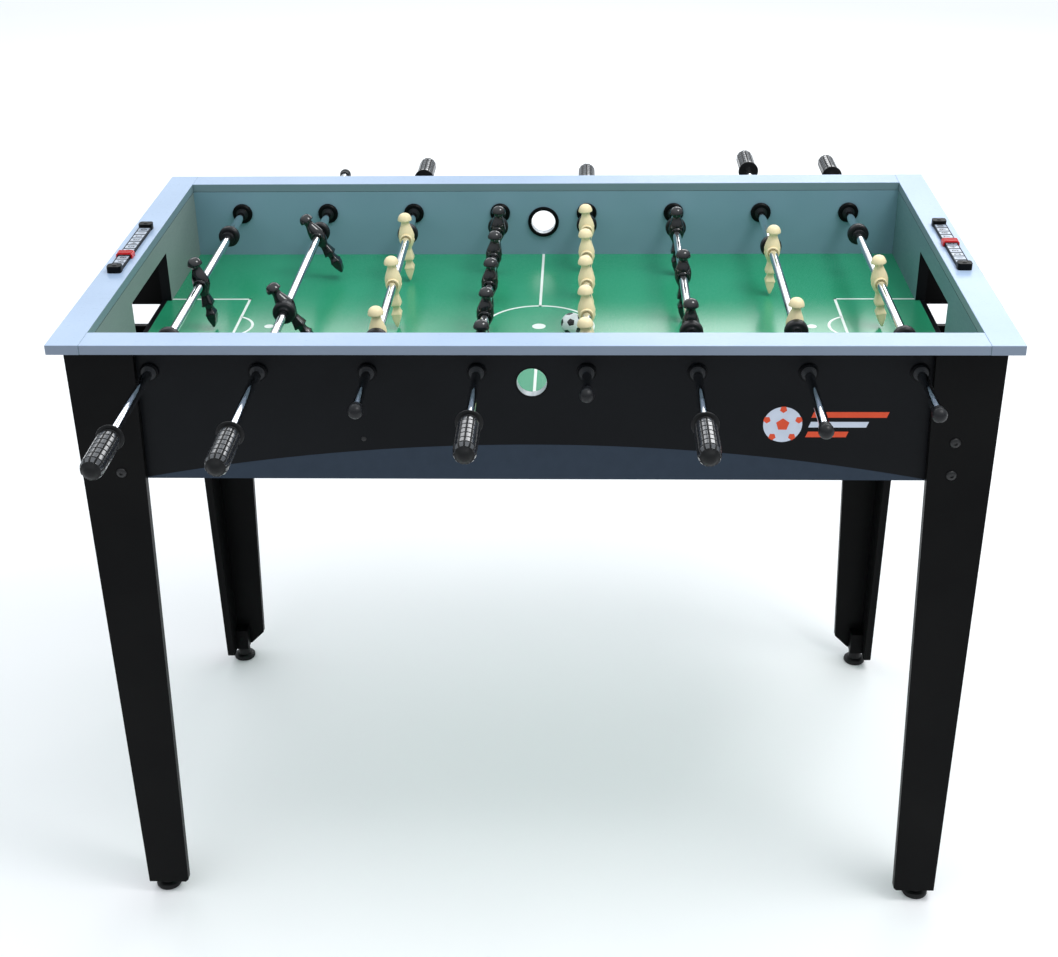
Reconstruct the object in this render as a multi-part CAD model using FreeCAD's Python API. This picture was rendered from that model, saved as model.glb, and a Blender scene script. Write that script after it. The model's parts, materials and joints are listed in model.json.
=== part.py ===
import FreeCAD, Part
import math
import os

# Table football game: an open-topped cabinet on four legs, eight player rods that
# slide and spin in wall bearings, and two sliding score counters.
# Millimetres.  X runs along the table, Y across it (the front is at -Y), Z up.  The
# origin is on the floor below the middle of the cabinet.

V = FreeCAD.Vector
X_AXIS = V(1, 0, 0)
Y_AXIS = V(0, 1, 0)
Z_AXIS = V(0, 0, 1)

# ---- cabinet -----------------------------------------------------------------
table_length = 1220.0        # over the end rails
table_width = 700.0          # over the side rails
rail_top = 918.0             # floor to the top of the rails
rail_width = 43.0
rail_thick = 13.0
long_panel = 12.0            # board thickness of the front and back panels
end_panel = 15.0             # board thickness of the end panels
apron_depth = 191.0          # height of the four panels
field_board = 6.0
field_groove = 7.0           # depth of the grooves in the end panels for the field board
batten_width = 30.0
batten_depth = 18.0
batten_count = 3

# ---- legs --------------------------------------------------------------------
leg_board = 12.0
leg_top_width = 89.0
leg_foot_width = 60.0
leg_clearance = 22.0         # floor to the end of the leg boards
leg_long_cut = 24.0          # chamfer at the inner bottom corner of one board of each leg
leg_short_cut = 4.0          # the same corner of its other board
block_side = 22.0            # glue block inside the foot of each leg
block_height = 40.0
glide_radius = 19.0
glide_thick = 9.0
glide_neck_radius = 11.0
stud_radius = 4.0
stud_depth = 34.0            # stud length inside the block
stud_gap = 0.1

# ---- leg bolts ---------------------------------------------------------------
bolt_radius = 3.0
bolt_gap = 0.2
bolt_head_radius = 7.0
bolt_head_height = 3.0
bolt_from_edge = 52.0        # bolt centre from the outer edge of the leg board
bolt_first_drop = 143.0      # rail top to the upper bolt
bolt_spacing = 47.0
nut_radius = 6.0
nut_height = 5.0

# ---- rods --------------------------------------------------------------------
rod_count = 8
rod_pitch = 140.0
rod_drop = 49.0              # rail top to the rod axis
rod_radius = 6.35
rod_wall = 1.5
rod_fit = 0.05               # radial clearance of the parts fixed on a rod

# ---- players -----------------------------------------------------------------
head_top = 40.0              # above the rod axis
foot_tip = 66.0              # below the rod axis
foot_gap = 4.5               # foot tip to playing field
ankle_drop = 47.0            # rod axis to the top of the boot
boot_drop = 54.0             # rod axis to where the boot begins to narrow
foot_thickness = {"ankle": 13.0, "toe": 3.0}
foot_width = 19.0
boss_half = 13.0             # half the length of the sleeve on the rod
boss_radius = 9.5
boss_recess_radius = 8.0     # shallow recess round the rod at each end of the sleeve
boss_recess = 2.5
man_screw_radius = 2.0
man_screw_gap = 0.1
screw_head_radius = 3.6
screw_head_height = 2.4
screw_seat_wall = 1.2        # plastic between the rod and a screw head

# ---- bearings ----------------------------------------------------------------
flange_radius = 16.0
flange_thick = 5.0
ring_radius = 12.0           # outer ring of a bearing
ring_thick = 5.0
barrel_radius = 10.0         # part of the housing inside the wall
sleeve_wall = 1.6
sleeve_collar_radius = 9.6
sleeve_collar = 1.0
running_fit = 0.05           # radial clearance, sleeve in housing and rod in sleeve
end_float = 0.3              # axial clearance between moving neighbours

# ---- bumpers, caps and grips ---------------------------------------------------
bumper_radius = 16.0
bumper_length = 14.0
collar_radius = 10.0
collar_length = 7.0
goalie_bumper = 205.0        # centre of a bumper from the middle of a goalkeeper rod
cap_radius = 9.5
grip_length = 94.0
grip_radius = 14.5
grip_flange_radius = 17.0
grip_flange = 3.0
grip_neck_radius = 11.0
grip_neck = 4.0
grip_shoulder = 8.0          # length over which the handle swells from its neck
grip_end_wall = 14.0
# by the number of players on the rod: bearing to cap centre, and bearing to grip
# flange, each with the rod pushed fully in
cap_margin = {1: 27.0, 2: 16.0, 3: 25.0, 5: 19.0}
grip_margin = {1: 86.0, 2: 94.0, 3: 85.0, 5: 87.0}

# ---- ball, ball holes and goals --------------------------------------------------
ball_radius = 16.5
ball_gap = 0.3               # ball to playing field
entry_drop = 15.0            # rod axis down to the centre of the ball holes
entry_radius = 19.3
entry_wall = 2.2             # wall of the ring that lines a ball hole
entry_lip_radius = 25.0
entry_lip = 4.0
goal_width = 204.0
goal_height = 77.0
goal_cheek = 9.0             # board thickness of the ball boxes
goal_box_depth = 50.0
goal_box_side = 8.0          # ball box overlap beside the goal
hood_top_drop = 32.0         # top of the panels down to the top of the ball boxes
hood_drop = 9.0              # side boards end this far below the field
hand_opening = 31.0          # outer board ends this far above the field
tray_drop = 58.0             # field down to the floor of the ball tray
tray_lip = 13.0

# ---- score counters ---------------------------------------------------------------
counter_length = 194.0
counter_width = 18.0
counter_height = 6.0
counter_y = {"left": 0.0, "right": 8.0}
counter_block = 15.0
counter_block_height = 11.0
counter_block_proud = 1.0    # end blocks wider than the strip, each side
slider_length = 15.0
slider_wall = 2.4
slider_gap = 0.3

# ---- the eight rods ----------------------------------------------------------------
# players, side of the grip (-1 front, +1 back), rest slide (mm), rest lean of the
# players about +Y (degrees, heads towards +X positive)
rod_table = [
    {"players": 1, "grip": -1, "slide": -8.0, "lean": -12.0},
    {"players": 2, "grip": -1, "slide": 48.0, "lean": -32.0},
    {"players": 3, "grip": 1, "slide": -5.0, "lean": -3.0},
    {"players": 5, "grip": -1, "slide": -12.0, "lean": 4.5},
    {"players": 5, "grip": 1, "slide": -4.0, "lean": -4.0},
    {"players": 3, "grip": -1, "slide": 22.0, "lean": -1.0},
    {"players": 2, "grip": 1, "slide": -20.0, "lean": 1.0},
    {"players": 1, "grip": 1, "slide": -3.0, "lean": -7.0},
]
player_spacing = {1: 0.0, 2: 294.0, 3: 192.0, 5: 116.0}

# the ball rests beside a player of rod 5, on the side facing the middle line
ball_rod = 5
ball_foot_gap = 1.5          # ball to the foot beside it
ball_side = -27.5            # ball centre from that player, along the rod

# the score sliders at rest, from the middle of their track
slider_rest = {"left": -31.0, "right": 6.0}

# ---- derived places -------------------------------------------------------------
half_length = table_length / 2
half_width = table_width / 2
inner_x = half_length - rail_width
inner_y = half_width - rail_width
panel_x = inner_x + end_panel
panel_y = inner_y + long_panel
leg_x = panel_x + leg_board
leg_y = panel_y + leg_board
panel_top = rail_top - rail_thick
panel_bottom = panel_top - apron_depth
rod_z = rail_top - rod_drop
field_z = rod_z - foot_tip - foot_gap
entry_z = rod_z - entry_drop
sleeve_bore = rod_radius + running_fit
sleeve_radius = sleeve_bore + sleeve_wall
housing_bore = sleeve_radius + running_fit
bearing_in = inner_y - flange_thick
bearing_out = panel_y + ring_thick
sleeve_in = bearing_in - end_float - sleeve_collar
sleeve_out = bearing_out + end_float + sleeve_collar


def save(node, solids):
    """Write one sub-part as a STEP file, as one solid or a group of solids."""
    shape = solids[0] if len(solids) == 1 else Part.makeCompound(solids)
    shape.exportStep("parts/" + node + ".step")


def board(x0, x1, y0, y1, z0, z1):
    """A flat board between two opposite corners."""
    low = V(min(x0, x1), min(y0, y1), min(z0, z1))
    return Part.makeBox(abs(x1 - x0), abs(y1 - y0), abs(z1 - z0), low)


def turned(profile):
    """A solid turned about Z from (radius, z) points that start and end on the axis."""
    points = [V(radius, 0, z) for radius, z in profile]
    wire = Part.makePolygon(points + [points[0]])
    return Part.Face(wire).revolve(V(0, 0, 0), Z_AXIS, 360)


def ring(outer, inner, length, base, axis):
    """A plain ring or tube."""
    tube = Part.makeCylinder(outer, length, base, axis)
    return tube.cut(Part.makeCylinder(inner, length, base, axis))


def lay_along_y(shape, side):
    """Turn a shape made along +Z so that it points along +Y or -Y."""
    shape.rotate(V(0, 0, 0), X_AXIS, -90 * side)
    return shape


def rod_x(number):
    """X of a rod, numbered from 1 at the -X end."""
    return (number - (rod_count + 1) / 2) * rod_pitch


def player_places(count):
    """Player centres along a rod, from the middle of the rod."""
    step = player_spacing[count]
    return [(i - (count - 1) / 2) * step for i in range(count)]


def bumper_centre(count):
    """Distance of each bumper's centre from the middle of its rod."""
    if count == 1:
        return goalie_bumper
    return player_places(count)[-1] + boss_half + bumper_length / 2


def slide_travel(count):
    """How far a rod slides each way from its middle place before a bumper stops it."""
    return sleeve_in - end_float - bumper_centre(count) - bumper_length / 2


# ---- cabinet panels ---------------------------------------------------------------
def long_side_panel(side):
    panel = board(-panel_x, panel_x, side * inner_y, side * panel_y, panel_bottom, panel_top)
    start = V(0, side * inner_y, 0)
    through = side * Y_AXIS
    for number in range(1, rod_count + 1):
        centre = start + V(rod_x(number), 0, rod_z)
        hole = Part.makeCylinder(barrel_radius + rod_fit, long_panel, centre, through)
        panel = panel.cut(hole)
    centre = start + V(0, 0, entry_z)
    panel = panel.cut(Part.makeCylinder(entry_radius + entry_wall + rod_fit, long_panel, centre, through))
    return drill_leg_bolts(panel)


def end_side_panel(side):
    panel = board(side * inner_x, side * panel_x, -inner_y, inner_y, panel_bottom, panel_top)
    mouth = board(side * inner_x, side * panel_x, -goal_width / 2, goal_width / 2,
                  field_z, field_z + goal_height)
    groove = board(side * inner_x, side * (inner_x + field_groove), -inner_y, inner_y,
                   field_z - field_board, field_z)
    return drill_leg_bolts(panel.cut([mouth, groove]))


def side_rail(side):
    return board(-inner_x, inner_x, side * inner_y, side * half_width, panel_top, rail_top)


def end_rail(side):
    return board(side * inner_x, side * half_length, -half_width, half_width, panel_top, rail_top)


def playfield():
    """The printed board, its ends let into the end panels, and the battens that carry it."""
    reach = inner_x + field_groove
    solids = [board(-reach, reach, -inner_y, inner_y, field_z - field_board, field_z)]
    step = 2 * inner_x / (batten_count + 1)
    for i in range(batten_count):
        x = -inner_x + (i + 1) * step
        solids.append(board(x - batten_width / 2, x + batten_width / 2, -inner_y, inner_y,
                            field_z - field_board - batten_depth, field_z - field_board))
    return solids


# ---- ball boxes behind the goals ------------------------------------------------------
def ball_box(side):
    """A hood behind the goal mouth and a shallow tray below it that catches the ball."""
    x0 = side * panel_x
    x1 = side * (panel_x + goal_box_depth)
    x2 = side * (panel_x + goal_box_depth + goal_cheek)
    y0 = goal_width / 2 + goal_box_side
    y1 = y0 + goal_cheek
    hood_top = panel_top - hood_top_drop
    hood_low = field_z - hood_drop
    tray_floor = field_z - tray_drop
    solids = [board(x1, x2, -y1, y1, field_z + hand_opening, hood_top)]
    solids.append(board(x0, x2, -y1, y1, tray_floor - goal_cheek, tray_floor))
    solids.append(board(x1, x2, -y1, y1, tray_floor, tray_floor + tray_lip))
    for end in (-1, 1):
        solids.append(board(x0, x1, end * y0, end * y1, hood_low, hood_top))
        solids.append(board(x0, x1, end * y0, end * y1, tray_floor, tray_floor + tray_lip))
    return solids


# ---- legs -----------------------------------------------------------------------------
def tapered_board(width_top, width_foot, cut):
    """A leg board in the XZ plane: outer edge on X=0, inner edge tapering, body in +X +Y."""
    top = panel_top
    low = leg_clearance
    outline = [V(0, 0, low), V(width_foot - cut, 0, low), V(width_foot, 0, low + cut),
               V(width_top, 0, top), V(0, 0, top), V(0, 0, low)]
    return Part.Face(Part.makePolygon(outline)).extrude(V(0, leg_board, 0))


def leg(side_x, side_y):
    """Two tapered boards that meet in an L, with a glue block inside the foot."""
    cuts = (leg_long_cut, leg_short_cut) if side_y > 0 else (leg_short_cut, leg_long_cut)
    front = tapered_board(leg_top_width, leg_foot_width, cuts[0])
    side = tapered_board(leg_top_width - leg_board, leg_foot_width - leg_board, cuts[1])
    side.rotate(V(0, 0, 0), Z_AXIS, 90)
    side.translate(V(leg_board, leg_board, 0))
    inner = leg_board
    block = board(inner, inner + block_side, inner, inner + block_side,
                  leg_clearance, leg_clearance + block_height)
    solids = []
    for piece in (front, side, block):
        if side_x > 0:
            piece = piece.mirror(V(0, 0, 0), X_AXIS)
        if side_y > 0:
            piece = piece.mirror(V(0, 0, 0), Y_AXIS)
        piece.translate(V(side_x * leg_x, side_y * leg_y, 0))
        solids.append(drill_leg_bolts(piece))
    socket = Part.makeCylinder(stud_radius + stud_gap, stud_depth, foot_place(side_x, side_y), Z_AXIS)
    solids[2] = solids[2].cut(socket)
    return solids


def foot_place(side_x, side_y):
    """Where a glide's stud enters the glue block."""
    inset = leg_board + block_side / 2
    return V(side_x * (leg_x - inset), side_y * (leg_y - inset), leg_clearance)


def leveller(side_x, side_y):
    """A round foot on a threaded stud."""
    top = leg_clearance + stud_depth - 1
    foot = turned([(0, 0), (glide_radius - 2, 0), (glide_radius, 2), (glide_radius, glide_thick - 2),
                   (glide_radius - 2, glide_thick), (glide_neck_radius, glide_thick),
                   (glide_neck_radius, leg_clearance), (stud_radius, leg_clearance),
                   (stud_radius, top), (0, top)])
    place = foot_place(side_x, side_y)
    foot.translate(V(place.x, place.y, 0))
    return foot


# ---- leg bolts ---------------------------------------------------------------------------
def bolt_axes():
    """Every leg bolt as a point on the outer leg face and the direction into the cabinet."""
    axes = []
    for side_x in (-1, 1):
        for side_y in (-1, 1):
            for i in range(2):
                z = rail_top - bolt_first_drop - i * bolt_spacing
                x = side_x * (leg_x - bolt_from_edge)
                y = side_y * (leg_y - bolt_from_edge)
                axes.append((V(x, side_y * leg_y, z), V(0, -side_y, 0), long_panel))
                axes.append((V(side_x * leg_x, y, z), V(-side_x, 0, 0), end_panel))
    return axes


def drill_leg_bolts(shape):
    """Bolt holes through a leg board or panel."""
    for point, inward, panel in bolt_axes():
        hole = Part.makeCylinder(bolt_radius + bolt_gap, leg_board + panel, point, inward)
        if shape.distToShape(hole)[0] < bolt_gap:
            shape = shape.cut(hole)
    return shape


def leg_bolts():
    """Round-headed bolts with a nut inside the cabinet, one solid each."""
    solids = []
    for point, inward, panel in bolt_axes():
        grip = leg_board + panel
        shank = Part.makeCylinder(bolt_radius, grip + nut_height, point, inward)
        head = Part.makeCylinder(bolt_head_radius, bolt_head_height, point, -inward)
        rim = [e for e in head.Edges if outer_rim(e, point, inward)]
        head = head.makeFillet(bolt_head_height * 0.6, rim)
        nut = Part.makeCylinder(nut_radius, nut_height, point + inward * grip, inward)
        solids.append(shank.fuse([head, nut]).removeSplitter())
    return solids


def outer_rim(edge, point, inward):
    """True for the circle at the outer end of a bolt head."""
    reach = (point - edge.CenterOfMass).dot(inward)
    return abs(reach - bolt_head_height) < 0.01 and abs(edge.Length - 2 * math.pi * bolt_head_radius) < 0.1


# ---- bearings and ball-hole rings -----------------------------------------------------------
def bearing_housing(x, side):
    """A flanged bush: flange inside the wall, barrel through it, ring outside."""
    profile = [(housing_bore, bearing_in), (flange_radius - 2, bearing_in),
               (flange_radius, bearing_in + 2), (flange_radius, inner_y), (barrel_radius, inner_y),
               (barrel_radius, panel_y), (ring_radius, panel_y), (ring_radius, bearing_out - 1.5),
               (ring_radius - 1.5, bearing_out), (housing_bore, bearing_out)]
    housing = lay_along_y(turned(profile), side)
    housing.translate(V(x, 0, rod_z))
    return housing


def entry_ring(side):
    """The lined ball hole in a long panel."""
    outer = entry_radius + entry_wall
    lip_low = inner_y - entry_lip
    profile = [(entry_radius, lip_low + 1.5), (entry_radius + 1.5, lip_low), (entry_lip_radius - 2, lip_low),
               (entry_lip_radius, lip_low + 2), (entry_lip_radius, inner_y), (outer, inner_y),
               (outer, panel_y), (entry_radius, panel_y)]
    lining = lay_along_y(turned(profile), side)
    lining.translate(V(0, 0, entry_z))
    return lining


def bearing_sleeves(number):
    """The nylon sleeve in each of a rod's two bearings; both turn with the rod."""
    solids = []
    low = bearing_in - end_float
    high = bearing_out + end_float
    profile = [(sleeve_bore, sleeve_in), (sleeve_collar_radius, sleeve_in), (sleeve_collar_radius, low),
               (sleeve_radius, low), (sleeve_radius, high), (sleeve_collar_radius, high),
               (sleeve_collar_radius, sleeve_out), (sleeve_bore, sleeve_out)]
    for side in (-1, 1):
        sleeve = lay_along_y(turned(profile), side)
        sleeve.translate(V(rod_x(number), 0, rod_z))
        solids.append(sleeve)
    return solids


# ---- players ---------------------------------------------------------------------------------
def player():
    """One player standing on the origin's rod axis (Y), facing along X."""
    body = turned([(0, -50), (6.5, -50), (6.5, -ankle_drop), (5.6, -45), (6.2, -38), (6.0, -34),
                   (8.2, -33.5), (7.8, -29), (6.2, -18), (7.4, -14), (10.2, -7), (11.8, 0), (12.0, 5),
                   (10.8, 12), (8.2, 19), (6.4, 24), (6.4, 27.6), (10.6, 28.2), (11.0, 29.2),
                   (10.4, 33), (8.4, 36.8), (5.2, 39.2), (2.0, head_top), (0, head_top)])
    boss = Part.makeCylinder(boss_radius, 2 * boss_half, V(0, -boss_half, 0), Y_AXIS)
    half_toe = foot_thickness["toe"] / 2
    half_ankle = foot_thickness["ankle"] / 2
    corners = [(-half_ankle, ankle_drop), (half_ankle, ankle_drop), (half_ankle, boot_drop),
               (half_toe, foot_tip), (-half_toe, foot_tip), (-half_ankle, boot_drop),
               (-half_ankle, ankle_drop)]
    outline = [V(x, -foot_width / 2, -drop) for x, drop in corners]
    foot = Part.Face(Part.makePolygon(outline)).extrude(V(0, foot_width, 0))
    man = body.fuse([boss, foot]).removeSplitter()
    man = man.cut(Part.makeCylinder(rod_radius + rod_fit, 2 * boss_half, V(0, -boss_half, 0), Y_AXIS))
    for side in (-1, 1):
        mouth = V(0, side * boss_half, 0)
        man = man.cut(Part.makeCylinder(boss_recess_radius, boss_recess, mouth, -side * Y_AXIS))
    reach = 2 * foot_tip
    man = man.cut(Part.makeCylinder(man_screw_radius + man_screw_gap, reach, V(-foot_tip, 0, 0), X_AXIS))
    for side in (-1, 1):
        seat = V(side * screw_seat(), 0, 0)
        recess = Part.makeCylinder(screw_head_radius + man_screw_gap, reach, seat, side * X_AXIS)
        man = man.cut(recess)
    return man


def screw_seat():
    """Distance from the rod axis to the face that a screw head or nut bears on."""
    return rod_radius + screw_seat_wall


def man_screw():
    """A screw across the rod and player, with its head and nut sunk in the player."""
    seat = screw_seat()
    shank = Part.makeCylinder(man_screw_radius, 2 * seat, V(-seat, 0, 0), X_AXIS)
    ends = [Part.makeCylinder(screw_head_radius, screw_head_height, V(side * seat, 0, 0), side * X_AXIS)
            for side in (-1, 1)]
    return shank.fuse(ends).removeSplitter()


# ---- rods ---------------------------------------------------------------------------------------
def rod_ends(rod):
    """Middle of the cap and flange of the grip, from the middle of the rod."""
    count = rod["players"]
    pushed_in = sleeve_out + slide_travel(count)
    return pushed_in + cap_margin[count], pushed_in + grip_margin[count]


def grip_shape():
    """A rubber handle made along +Z from its flange, with a blind bore for the rod."""
    body_start = grip_flange + grip_neck
    end_arc = grip_radius * 0.8
    profile = [(rod_radius + rod_fit, 0), (grip_flange_radius, 0), (grip_flange_radius, grip_flange),
               (grip_neck_radius, grip_flange + 1), (grip_neck_radius, body_start),
               (grip_radius - 2, body_start + 2), (grip_radius, body_start + grip_shoulder),
               (grip_radius, grip_length - end_arc)]
    steps = 6
    for i in range(1, steps + 1):
        angle = math.radians(90 * i / steps)
        profile.append((grip_radius * math.cos(angle), grip_length - end_arc + end_arc * math.sin(angle)))
    profile[-1] = (0, grip_length)
    bore_end = grip_length - grip_end_wall
    profile += [(0, bore_end), (rod_radius + rod_fit, bore_end)]
    return turned(profile)


def cap_shape():
    """A ball-shaped end cap made along +Z about its own centre, with a blind bore."""
    ball = Part.makeSphere(cap_radius)
    neck = Part.makeCylinder(cap_radius - 1, cap_radius + 2, V(0, 0, -cap_radius - 2))
    cap = ball.fuse(neck).removeSplitter()
    depth = 2 * cap_radius
    return cap.cut(Part.makeCylinder(rod_radius + rod_fit, depth, V(0, 0, -depth + cap_radius / 2)))


def bumper(centre, side):
    """A rubber ring on the rod, rounded on its outer face."""
    half = bumper_length / 2
    profile = [(rod_radius + rod_fit, -half), (bumper_radius - 2, -half), (bumper_radius, -half + 2),
               (bumper_radius, half - 4), (bumper_radius - 1.2, half - 1.2), (bumper_radius - 4, half),
               (rod_radius + rod_fit, half)]
    shape = lay_along_y(turned(profile), side)
    shape.translate(V(0, side * centre, 0))
    return shape


def make_rod(number, rod):
    """All pieces that slide together on one rod, as lists of solids by node."""
    count = rod["players"]
    cap_at, grip_at = rod_ends(rod)
    side = rod["grip"]
    bore_depth = grip_length - grip_end_wall
    grip_reach = grip_at + bore_depth - end_float
    cap_reach = cap_at + cap_radius / 2 - end_float
    start = V(0, -side * cap_reach, 0)
    tube = ring(rod_radius, rod_radius - rod_wall, cap_reach + grip_reach, start, side * Y_AXIS)
    men = []
    screws = []
    for place in player_places(count):
        man = player()
        man.translate(V(0, place, 0))
        men.append(man)
        hole = Part.makeCylinder(man_screw_radius + man_screw_gap, 4 * rod_radius,
                                 V(-2 * rod_radius, place, 0), X_AXIS)
        tube = tube.cut(hole)
        screw = man_screw()
        screw.translate(V(0, place, 0))
        screws.append(screw)
    centre = bumper_centre(count)
    rubbers = [bumper(centre, end) for end in (-1, 1)]
    if count == 1:
        for end in (-1, 1):
            base = V(0, end * (centre - bumper_length / 2), 0)
            rubbers.append(ring(collar_radius, rod_radius + rod_fit, collar_length, base, -end * Y_AXIS))
    cap = lay_along_y(cap_shape(), -side)
    cap.translate(V(0, -side * cap_at, 0))
    rubbers.append(cap)
    grip = lay_along_y(grip_shape(), side)
    grip.translate(V(0, side * grip_at, 0))
    nodes = {"tube_and_screws": [tube] + screws, "players": men, "grip": [grip], "stops_and_cap": rubbers}
    for solids in nodes.values():
        for solid in solids:
            solid.rotate(V(0, 0, 0), Y_AXIS, rod["lean"])
            solid.translate(V(rod_x(number), rod["slide"], rod_z))
    return nodes


# ---- score counters ------------------------------------------------------------------------
ends = {"left": -1, "right": 1}


def counter_base(end):
    """A strip screwed to the end rail, with a raised block at each end."""
    x = ends[end] * (half_length - rail_width / 2)
    y0 = counter_y[end] - counter_length / 2
    y1 = counter_y[end] + counter_length / 2
    half = counter_width / 2
    proud = half + counter_block_proud
    strip = board(x - half, x + half, y0, y1, rail_top, rail_top + counter_height)
    blocks = [board(x - proud, x + proud, y, y + d * counter_block, rail_top,
                    rail_top + counter_block_height) for y, d in ((y0, 1), (y1, -1))]
    return strip.fuse(blocks).removeSplitter()


def score_slider(end):
    """A red marker that straddles the strip."""
    x = ends[end] * (half_length - rail_width / 2)
    inner = counter_width / 2 + slider_gap
    outer = inner + slider_wall
    low = rail_top + slider_gap
    y0 = counter_y[end] + slider_rest[end] - slider_length / 2
    y1 = y0 + slider_length
    top = rail_top + counter_height + slider_gap
    body = board(x - outer, x + outer, y0, y1, low, top + slider_wall)
    return body.cut(board(x - inner, x + inner, y0, y1, low, top))


# ---- ball ------------------------------------------------------------------------------------
def ball():
    """The ball, beside the middle player of the five-player rod."""
    rod = rod_table[ball_rod - 1]
    foot_shift = math.sin(math.radians(rod["lean"])) * boot_drop
    foot_edge = rod_x(ball_rod) - foot_shift - foot_thickness["ankle"] / 2
    x = foot_edge - ball_foot_gap - ball_radius
    y = rod["slide"] + ball_side
    return Part.makeSphere(ball_radius, V(x, y, field_z + ball_gap + ball_radius))


os.makedirs("parts", exist_ok=True)

save("front_panel", [long_side_panel(-1)])
save("back_panel", [long_side_panel(1)])
save("left_end_panel", [end_side_panel(-1)])
save("right_end_panel", [end_side_panel(1)])
save("side_top_rails", [side_rail(-1), side_rail(1)])
save("end_top_rails", [end_rail(-1), end_rail(1)])
save("playfield", playfield())
save("ball_return_boxes", ball_box(-1) + ball_box(1))
corners = {"front_left": (-1, -1), "front_right": (1, -1), "back_left": (-1, 1), "back_right": (1, 1)}
for name, (side_x, side_y) in corners.items():
    save("leg_" + name, leg(side_x, side_y))
save("leg_levellers", [leveller(*corner) for corner in corners.values()])
save("leg_bolts", leg_bolts())
save("rod_bearings", [bearing_housing(rod_x(n), side)
                      for n in range(1, rod_count + 1) for side in (-1, 1)])
save("ball_hole_rings", [entry_ring(-1), entry_ring(1)])
save("score_counters", [counter_base(end) for end in ends])
save("left_score_slider", [score_slider("left")])
save("right_score_slider", [score_slider("right")])
save("ball", [ball()])
for number, rod in enumerate(rod_table, start=1):
    prefix = "rod_" + str(number) + "_"
    save(prefix + "bearing_sleeves", bearing_sleeves(number))
    for kind, solids in make_rod(number, rod).items():
        save(prefix + kind, solids)

for count in sorted(player_spacing):
    print("travel each way,", count, "players:", round(slide_travel(count), 2))
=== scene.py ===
import json
import math

import bmesh
import bpy
from mathutils import Matrix, Vector


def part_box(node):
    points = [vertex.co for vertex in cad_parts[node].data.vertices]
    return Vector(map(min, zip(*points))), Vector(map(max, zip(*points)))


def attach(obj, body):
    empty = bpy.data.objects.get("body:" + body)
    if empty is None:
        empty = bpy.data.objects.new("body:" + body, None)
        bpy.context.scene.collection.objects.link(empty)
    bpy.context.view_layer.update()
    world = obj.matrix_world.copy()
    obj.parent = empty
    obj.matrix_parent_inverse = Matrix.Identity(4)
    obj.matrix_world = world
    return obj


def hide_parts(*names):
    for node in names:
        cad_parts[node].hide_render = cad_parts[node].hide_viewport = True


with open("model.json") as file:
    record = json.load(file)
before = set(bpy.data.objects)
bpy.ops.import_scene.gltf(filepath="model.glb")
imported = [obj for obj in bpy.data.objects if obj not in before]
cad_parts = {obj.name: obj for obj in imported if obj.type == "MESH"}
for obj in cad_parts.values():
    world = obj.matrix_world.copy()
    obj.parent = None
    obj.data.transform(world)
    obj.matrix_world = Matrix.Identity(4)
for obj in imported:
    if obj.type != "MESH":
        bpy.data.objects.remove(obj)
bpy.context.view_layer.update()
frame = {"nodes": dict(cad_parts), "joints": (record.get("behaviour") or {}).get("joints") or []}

# Metres, in the table's own frame: X along the table, Y across it, Z up, floor at 0.
MM = 0.001

# ---- places read from the frame ----------------------------------------------------


def low(node):
    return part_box(node)[0]


def high(node):
    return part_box(node)[1]


def middle(node):
    return (low(node) + high(node)) / 2


RAIL_TOP = high("side_top_rails").z
FIELD = high("playfield").z
INNER_X = low("right_end_panel").x
INNER_Y = high("playfield").y
PANEL_FRONT = low("front_panel").y
PANEL_LOW = low("front_panel").z
ROD_AXES = {j["child"]: Vector(j["pos_m"]) for j in frame["joints"] if j["type"] == "hinge"}

# ---- the rods ----------------------------------------------------------------------
# team, number of players, side of the grip (-1 front, 1 back) and the players' lean at
# rest in degrees about +Y
RODS = {
    1: ("black", 1, -1, -12.0),
    2: ("black", 2, -1, -32.0),
    3: ("cream", 3, 1, -3.0),
    4: ("black", 5, -1, 4.5),
    5: ("cream", 5, 1, -4.0),
    6: ("black", 3, -1, -1.0),
    7: ("cream", 2, 1, 1.0),
    8: ("cream", 1, 1, -7.0),
}
GOALIE_BUMPER = 205 * MM          # middle of a goalkeeper rod to the centre of its bumper
PLAYER_TO_BUMPER = 20 * MM        # outermost player of the other rods to the bumper beside it

# ---- sizes in millimetres that several outlines share ------------------------------
ROD_RADIUS = 6.35
SLEEVE_HALF = 13.0                # half the length of a player's sleeve on the rod
CAP_RADIUS = 9.5
BOLT_HEAD_RADIUS = 7.0
BOLT_HEAD_HEIGHT = 3.0
BOLT_FROM_EDGE = 52.0             # leg's outer edge to a bolt


def srgb(red, green, blue):
    """A colour given as 0-255 screen values, as linear RGBA."""
    def linear(value):
        value /= 255
        return value / 12.92 if value <= 0.04045 else ((value + 0.055) / 1.055) ** 2.4
    return (linear(red), linear(green), linear(blue), 1.0)


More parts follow.
